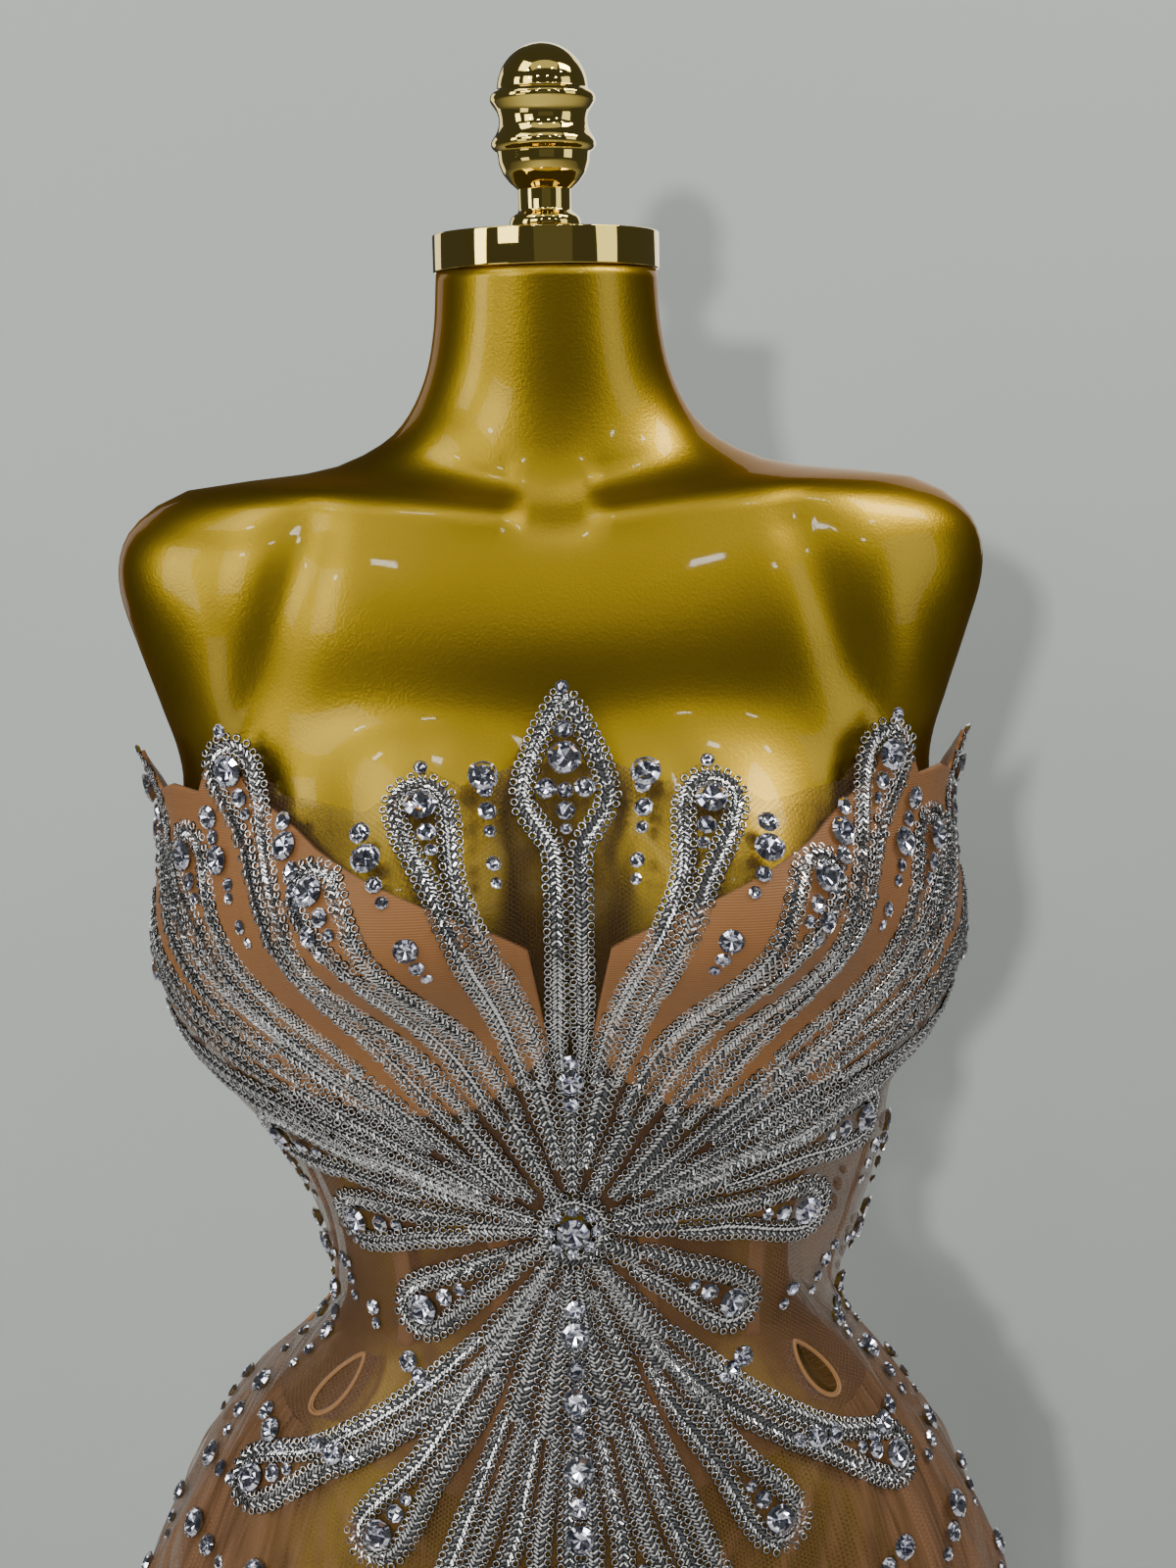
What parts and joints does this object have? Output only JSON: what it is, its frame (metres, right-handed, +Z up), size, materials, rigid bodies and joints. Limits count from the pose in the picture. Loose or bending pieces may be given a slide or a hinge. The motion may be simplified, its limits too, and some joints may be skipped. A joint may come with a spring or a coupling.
{
  "type": "rhinestone stage dress on a dress form",
  "caption": "Strapless corset dress of tan net with moulded cups, a crown-like neckline, silver braid rays and crystals, worn by a limbless gold dress form on a stand.",
  "frame": {"origin": "on the floor under the centre of the round base, which is also the middle of the overall footprint", "axes": "+Z up along the pole; the front of the dress faces -Y; +X is on the viewer's right when the dress is seen from the front"},
  "size_m": [0.4345, 0.36, 1.5116],
  "materials": {
    "net": "fine tan and brown net, semi-sheer, matte",
    "cup_mesh": "power mesh over moulded foam cups, tan, matte",
    "trim": "tan satin and twill tape",
    "braid": "silver metallic looped braid with crystal stones",
    "crystal": "foiled faceted crystal, pale blue-lavender",
    "hook_metal": "small plated hooks and eyes",
    "gold_paint": "metallic gold paint under clear gloss coat on moulded fibreglass",
    "gold_plate": "mirror-polished gold plating"
  },
  "bodies": {
    "root": {"front_gore": "net", "front_basque": "net", "front_skirt": "net", "front_panel_minus_x": "net", "cup_minus_x": "cup_mesh", "side_panel_minus_x": "net", "back_panel_minus_x": "net", "back_skirt_minus_x": "net", "cutout_binding_minus_x": "trim", "bone_1_minus_x": "trim", "bone_2_minus_x": "trim", "bone_3_minus_x": "trim", "bone_4_minus_x": "trim", "front_panel_plus_x": "net", "cup_plus_x": "cup_mesh", "side_panel_plus_x": "net", "back_panel_plus_x": "net", "back_skirt_plus_x": "net", "cutout_binding_plus_x": "trim", "bone_1_plus_x": "trim", "bone_2_plus_x": "trim", "bone_3_plus_x": "trim", "bone_4_plus_x": "trim", "back_placket": "trim", "sunburst_medallion": "braid", "form_torso": "gold_paint", "neck_cap": "gold_plate", "finial": "gold_plate", "stand_flange": "gold_plate", "stand_pole": "gold_plate", "stand_base": "gold_plate"}
  },
  "joints": []
}
